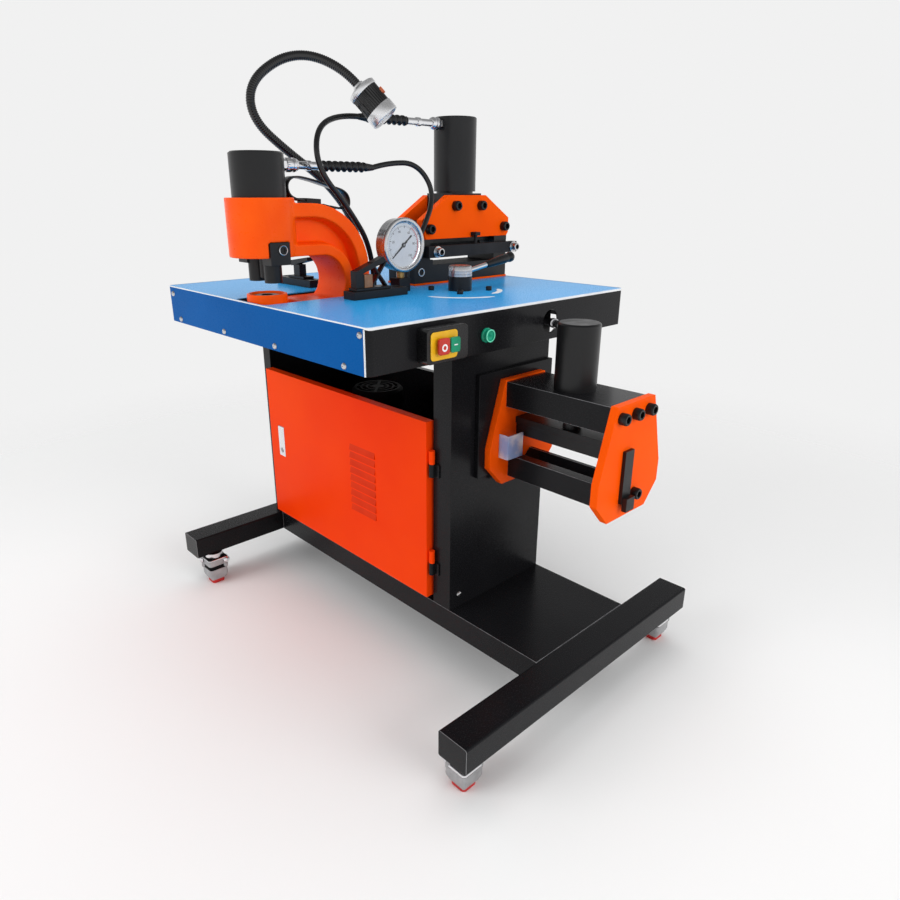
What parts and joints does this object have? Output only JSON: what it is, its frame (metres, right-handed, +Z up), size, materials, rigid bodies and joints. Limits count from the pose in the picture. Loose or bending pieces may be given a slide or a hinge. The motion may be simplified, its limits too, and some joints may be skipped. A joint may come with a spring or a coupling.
{
  "type": "busbar processing machine",
  "caption": "Wheeled hydraulic busbar bench: sheet table with a C-frame punch head, a bar cutter, gauge, lever valve and work lamp, a side bender, and a cabinet with the pump set.",
  "frame": {"origin": "floor level under the middle of the bounding box, hoses left out", "axes": "+X along the stand towards the bending station, +Y along the foot bars away from the door, +Z up"},
  "size_m": [1.024, 0.758, 1.2254],
  "materials": {
    "orange_paint": "smooth sprayed orange paint",
    "blue_sheet": "smooth blue coated sheet",
    "black_paint": "satin black powder coat",
    "black_oxide": "blackened machined steel",
    "bare_steel": "bright machined steel",
    "bright_plate": "bright nickel plate",
    "cast_grey": "grey die casting",
    "red_rubber": "moulded red rubber",
    "black_rubber": "smooth black rubber",
    "grey_nylon": "moulded nylon",
    "black_plastic": "moulded black plastic",
    "red_plastic": "glossy red plastic",
    "green_plastic": "glossy green plastic",
    "orange_plastic": "glossy orange plastic",
    "clear_sheet": "clear sheet",
    "dial_white": "printed white dial",
    "needle_black": "black paint"
  },
  "bodies": {
    "stand": {"base_frame": "black_paint", "caster_bodies": "cast_grey", "cabinet_panels": "black_paint", "bender_mount": "black_paint", "door_hinges": "black_paint", "table_pan": "black_paint", "table_top": "blue_sheet", "front_cover": "blue_sheet", "black_bolts": "black_oxide", "steel_screws": "bare_steel", "cutter_plates": "orange_paint", "cutter_die_block": "black_oxide", "cutter_cylinder": "black_oxide", "punch_frame": "orange_paint", "punch_cylinder": "black_oxide", "punch_strippers": "black_oxide", "punch_die": "black_oxide", "carry_handle": "black_rubber", "hose_couplers": "bright_plate", "punch_hose": "black_rubber", "cutter_hose": "black_rubber", "gauge_case": "bare_steel", "gauge_dial": "dial_white", "valve_body": "black_oxide", "switch_box": "black_plastic", "pilot_lamp": "green_plastic", "lamp_gooseneck": "black_rubber", "lamp_head": "black_plastic", "lamp_lens": "clear_sheet", "bender_plates": "orange_paint", "bender_top_block": "black_oxide", "bender_cylinder": "black_oxide", "bender_die": "black_oxide", "bender_guard": "clear_sheet", "oil_tank": "black_paint", "pump_motor": "black_paint", "stop_rails": "black_oxide"},
    "door": {"door": "orange_paint"},
    "lock": {"lock_handle": "bright_plate"},
    "cutter_ram": {"cutter_blade": "black_oxide"},
    "clamp_bar": {"cutter_clamp_bar": "black_oxide"},
    "punch_ram": {"punch_ram": "bare_steel"},
    "bend_pusher": {"bender_pusher": "black_oxide"},
    "bend_stop": {"bend_stop": "black_oxide"},
    "valve_lever": {"valve_lever": "bare_steel"},
    "needle": {"gauge_needle": "needle_black"},
    "stop_button": {"stop_button": "red_plastic"},
    "start_button": {"start_button": "green_plastic"},
    "lamp_button": {"lamp_button": "orange_plastic"},
    "fan": {"motor_fan": "black_plastic"},
    "front_slide": {"stop_slide_front": "black_oxide"},
    "rear_slide": {"stop_slide_rear": "black_oxide"},
    "wheel_1": {"caster_wheel_1": "grey_nylon"},
    "pad_1": {"caster_pad_1": "red_rubber"},
    "wheel_2": {"caster_wheel_2": "grey_nylon"},
    "pad_2": {"caster_pad_2": "red_rubber"},
    "wheel_3": {"caster_wheel_3": "grey_nylon"},
    "pad_3": {"caster_pad_3": "red_rubber"},
    "wheel_4": {"caster_wheel_4": "grey_nylon"},
    "pad_4": {"caster_pad_4": "red_rubber"}
  },
  "joints": [
    {"name": "wheel_1_spin", "type": "hinge", "parent": "stand", "child": "wheel_1", "pos_m": [0.42681, -0.30022, 0.021], "axis": [-0.6691, -0.7431, 0], "continuous": true},
    {"name": "pad_1_screw", "type": "slide", "parent": "stand", "child": "pad_1", "axis": [0, 0, 1], "range_m": [-0.006, 0.007]},
    {"name": "wheel_2_spin", "type": "hinge", "parent": "stand", "child": "wheel_2", "pos_m": [-0.49518, -0.30022, 0.021], "axis": [-0.6691, -0.7431, 0], "continuous": true},
    {"name": "pad_2_screw", "type": "slide", "parent": "stand", "child": "pad_2", "axis": [0, 0, 1], "range_m": [-0.006, 0.007]},
    {"name": "wheel_3_spin", "type": "hinge", "parent": "stand", "child": "wheel_3", "pos_m": [0.42681, 0.32578, 0.021], "axis": [-0.6691, -0.7431, 0], "continuous": true},
    {"name": "pad_3_screw", "type": "slide", "parent": "stand", "child": "pad_3", "axis": [0, 0, 1], "range_m": [-0.006, 0.007]},
    {"name": "wheel_4_spin", "type": "hinge", "parent": "stand", "child": "wheel_4", "pos_m": [-0.49518, 0.32578, 0.021], "axis": [-0.6691, -0.7431, 0], "continuous": true},
    {"name": "pad_4_screw", "type": "slide", "parent": "stand", "child": "pad_4", "axis": [0, 0, 1], "range_m": [-0.006, 0.007]},
    {"name": "door_swing", "type": "hinge", "parent": "stand", "child": "door", "pos_m": [0.168, -0.133, 0.35], "axis": [0, 0, 1], "range_deg": [0, 110]},
    {"name": "lock_pull", "type": "hinge", "parent": "door", "child": "lock", "pos_m": [-0.3935, -0.137, 0.399], "axis": [-1, 0, 0], "range_deg": [0, 60]},
    {"name": "cutter_stroke", "type": "slide", "parent": "stand", "child": "cutter_ram", "axis": [0, 0, -1], "range_m": [0, 0.036]},
    {"name": "clamp_lift", "type": "slide", "parent": "stand", "child": "clamp_bar", "axis": [0, 0, 1], "range_m": [-0.012, 0.008]},
    {"name": "punch_stroke", "type": "slide", "parent": "stand", "child": "punch_ram", "axis": [0, 0, -1], "range_m": [0, 0.028]},
    {"name": "bend_stroke", "type": "slide", "parent": "stand", "child": "bend_pusher", "axis": [0, 0, -1], "range_m": [0, 0.04]},
    {"name": "bend_stop_shift", "type": "slide", "parent": "stand", "child": "bend_stop", "axis": [0, 0, 1], "range_m": [-0.008, 0.01]},
    {"name": "valve_turn", "type": "hinge", "parent": "stand", "child": "valve_lever", "pos_m": [0.032, 0.077, 0.8], "axis": [0, 0, 1], "range_deg": [-180, 0]},
    {"name": "gauge_sweep", "type": "hinge", "parent": "stand", "child": "needle", "pos_m": [-0.036, -0.024, 0.864], "axis": [-1, 0, 0], "range_deg": [0, 270], "stiffness_Nm_per_rad": 0.01},
    {"name": "stop_press", "type": "slide", "parent": "stand", "child": "stop_button", "axis": [-1, 0, 0], "range_m": [0, 0.004], "stiffness_N_per_m": 800},
    {"name": "start_press", "type": "slide", "parent": "stand", "child": "start_button", "axis": [-1, 0, 0], "range_m": [0, 0.004], "stiffness_N_per_m": 800},
    {"name": "lamp_press", "type": "slide", "parent": "stand", "child": "lamp_button", "axis": [-0.5627, -0.4795, -0.6734], "range_m": [0, 0.003], "stiffness_N_per_m": 600},
    {"name": "fan_spin", "type": "hinge", "parent": "stand", "child": "fan", "pos_m": [-0.175, 0.006, 0.49], "axis": [0, 0, 1], "continuous": true},
    {"name": "front_stop_shift", "type": "slide", "parent": "stand", "child": "front_slide", "axis": [0, 1, 0], "range_m": [-0.005, 0.045]},
    {"name": "rear_stop_shift", "type": "slide", "parent": "stand", "child": "rear_slide", "axis": [1, 0, 0], "range_m": [-0.04, 0.025]}
  ]
}
